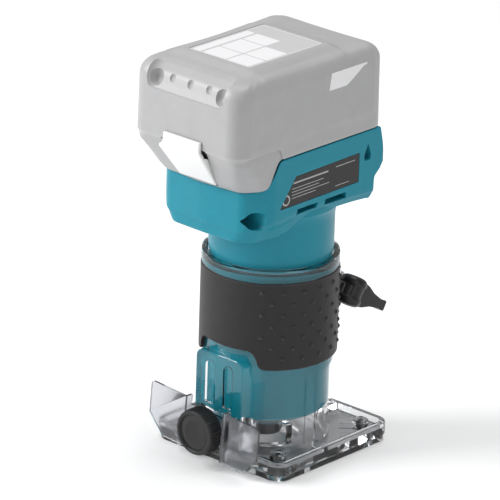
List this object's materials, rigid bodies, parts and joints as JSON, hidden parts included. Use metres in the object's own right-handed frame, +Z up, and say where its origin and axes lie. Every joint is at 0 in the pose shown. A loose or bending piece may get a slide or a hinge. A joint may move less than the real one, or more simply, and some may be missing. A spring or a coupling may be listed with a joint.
{
  "type": "trim router",
  "caption": "Battery trim router: motor unit that slides in a clear clamp base with cam lever, thumb screw, chip deflector, collet and slide-on pack",
  "frame": {"origin": "on the spindle axis, in the plane of the sole", "axes": "+Z up along the spindle, -Y to the front with the thumb screw and the pack's button, +X to the side with the clamp lever and the name plate"},
  "size_m": [0.0904, 0.1464, 0.227],
  "materials": {
    "sole_plate": "clear moulded sheet",
    "sole_screws": "blackened",
    "clear_plate": "clear moulded resin",
    "clear_tube": "clear moulded resin",
    "front_bracket": "clear moulded resin",
    "clamp_lugs": "clear moulded resin",
    "grip_sleeve": "matt with raised dots",
    "chip_deflector": "clear sheet",
    "column_insert": "threaded insert",
    "clamp_bolt": "zinc plated",
    "lever_pin": "ground pin",
    "cam_washer": "zinc plated",
    "clamp_washer": "zinc plated",
    "clamp_nut": "zinc plated",
    "cam_lever": "moulded",
    "thumb_knob": "knurled",
    "thumb_stud": "threaded",
    "thumb_washer": "zinc plated",
    "motor_barrel": "moulded",
    "bearing_bracket": "die cast",
    "lower_bearing_outer": "ground",
    "upper_bearing_outer": "ground",
    "lower_bearing_inner": "ground",
    "upper_bearing_inner": "ground",
    "stator_core": "laminated",
    "stator_windings": "enamelled copper wire",
    "sensor_board": "circuit board",
    "phase_leads": "insulated wire",
    "spindle": "ground",
    "rotor_core": "laminated",
    "rotor_magnets": "nickel plated",
    "cooling_fan": "moulded",
    "collet": "ground spring steel",
    "collet_nut": "blackened",
    "head_shell_right": "fine-textured moulding",
    "head_shell_left": "fine-textured moulding",
    "head_screws": "blackened",
    "name_plate": "plain printed film",
    "switch_body": "moulded",
    "switch_slider": "moulded",
    "controller_tray": "die cast",
    "controller_board": "circuit board",
    "power_transistors": "moulded",
    "filter_capacitor": "sleeved can",
    "terminal_block": "moulded",
    "terminal_blades": "plated",
    "battery_cover": "fine-textured moulding",
    "battery_tray": "fine-textured moulding",
    "battery_screws": "blackened",
    "battery_cells": "sleeved cans",
    "cell_frames": "moulded",
    "cell_straps": "nickel strip",
    "battery_board": "circuit board",
    "battery_terminals": "plated",
    "battery_label": "plain printed film",
    "release_button": "moulded",
    "release_spring": "spring wire"
  },
  "bodies": {
    "base": {"sole_plate": "sole_plate", "sole_screws": "sole_screws", "clear_plate": "clear_plate", "clear_tube": "clear_tube", "front_bracket": "front_bracket", "clamp_lugs": "clamp_lugs", "grip_sleeve": "grip_sleeve", "chip_deflector": "chip_deflector", "column_insert": "column_insert", "clamp_bolt": "clamp_bolt", "lever_pin": "lever_pin", "cam_washer": "cam_washer", "clamp_washer": "clamp_washer", "clamp_nut": "clamp_nut"},
    "clamp_lever": {"cam_lever": "cam_lever"},
    "thumb_slide_washer": {"thumb_washer": "thumb_washer"},
    "thumb_screw": {"thumb_knob": "thumb_knob", "thumb_stud": "thumb_stud"},
    "motor_unit": {"motor_barrel": "motor_barrel", "bearing_bracket": "bearing_bracket", "lower_bearing_outer": "lower_bearing_outer", "upper_bearing_outer": "upper_bearing_outer", "stator_core": "stator_core", "stator_windings": "stator_windings", "sensor_board": "sensor_board", "phase_leads": "phase_leads", "head_shell_right": "head_shell_right", "head_shell_left": "head_shell_left", "head_screws": "head_screws", "name_plate": "name_plate", "switch_body": "switch_body", "controller_tray": "controller_tray", "controller_board": "controller_board", "power_transistors": "power_transistors", "filter_capacitor": "filter_capacitor", "terminal_block": "terminal_block", "terminal_blades": "terminal_blades"},
    "rotor": {"spindle": "spindle", "rotor_core": "rotor_core", "rotor_magnets": "rotor_magnets", "cooling_fan": "cooling_fan", "lower_bearing_inner": "lower_bearing_inner", "upper_bearing_inner": "upper_bearing_inner"},
    "collet_sleeve": {"collet": "collet"},
    "collet_cap": {"collet_nut": "collet_nut"},
    "switch": {"switch_slider": "switch_slider"},
    "battery": {"battery_cover": "battery_cover", "battery_tray": "battery_tray", "battery_screws": "battery_screws", "battery_cells": "battery_cells", "cell_frames": "cell_frames", "cell_straps": "cell_straps", "battery_board": "battery_board", "battery_terminals": "battery_terminals", "battery_label": "battery_label", "release_spring": "release_spring"},
    "battery_button": {"release_button": "release_button"}
  },
  "joints": [
    {"name": "depth_slide", "type": "slide", "parent": "base", "child": "motor_unit", "axis": [0, 0, 1], "range_m": [-0.002, 0.036]},
    {"name": "lever_swing", "type": "hinge", "parent": "base", "child": "clamp_lever", "pos_m": [0.0172, 0.046, 0.0786], "axis": [0, -0.515, -0.8572], "range_deg": [0, 100]},
    {"name": "thumb_screw_slide", "type": "slide", "parent": "base", "child": "thumb_slide_washer", "axis": [0, -1, 0], "range_m": [0, 0.00482]},
    {"name": "thumb_screw_turn", "type": "hinge", "parent": "thumb_slide_washer", "child": "thumb_screw", "pos_m": [0, -0.045, 0.021], "axis": [0, -1, 0], "range_deg": [0, 2160]},
    {"name": "spindle_spin", "type": "hinge", "parent": "motor_unit", "child": "rotor", "pos_m": [0, 0, 0.06], "axis": [0, 0, 1], "continuous": true},
    {"name": "collet_draw", "type": "slide", "parent": "rotor", "child": "collet_sleeve", "axis": [0, 0, -1], "range_m": [0, 0.00302]},
    {"name": "collet_nut_turn", "type": "hinge", "parent": "collet_sleeve", "child": "collet_cap", "pos_m": [0, 0, 0.012], "axis": [0, 0, -1], "range_deg": [0, 720]},
    {"name": "switch_slide", "type": "slide", "parent": "motor_unit", "child": "switch", "axis": [0, 1, 0], "range_m": [0, 0.008]},
    {"name": "battery_slide", "type": "slide", "parent": "motor_unit", "child": "battery", "axis": [0, -1, 0], "range_m": [0, 0.085]},
    {"name": "release_button_lift", "type": "slide", "parent": "battery", "child": "battery_button", "axis": [0, 0, 1], "range_m": [0, 0.0035], "stiffness_N_per_m": 600, "springref_m": -0.002, "deforming": ["release_spring"]}
  ],
  "couplings": [
    {"joint": "thumb_screw_slide", "follows": "thumb_screw_turn", "m_per_rad": 0.00012732},
    {"joint": "collet_draw", "follows": "collet_nut_turn", "m_per_rad": 0.00023873}
  ]
}
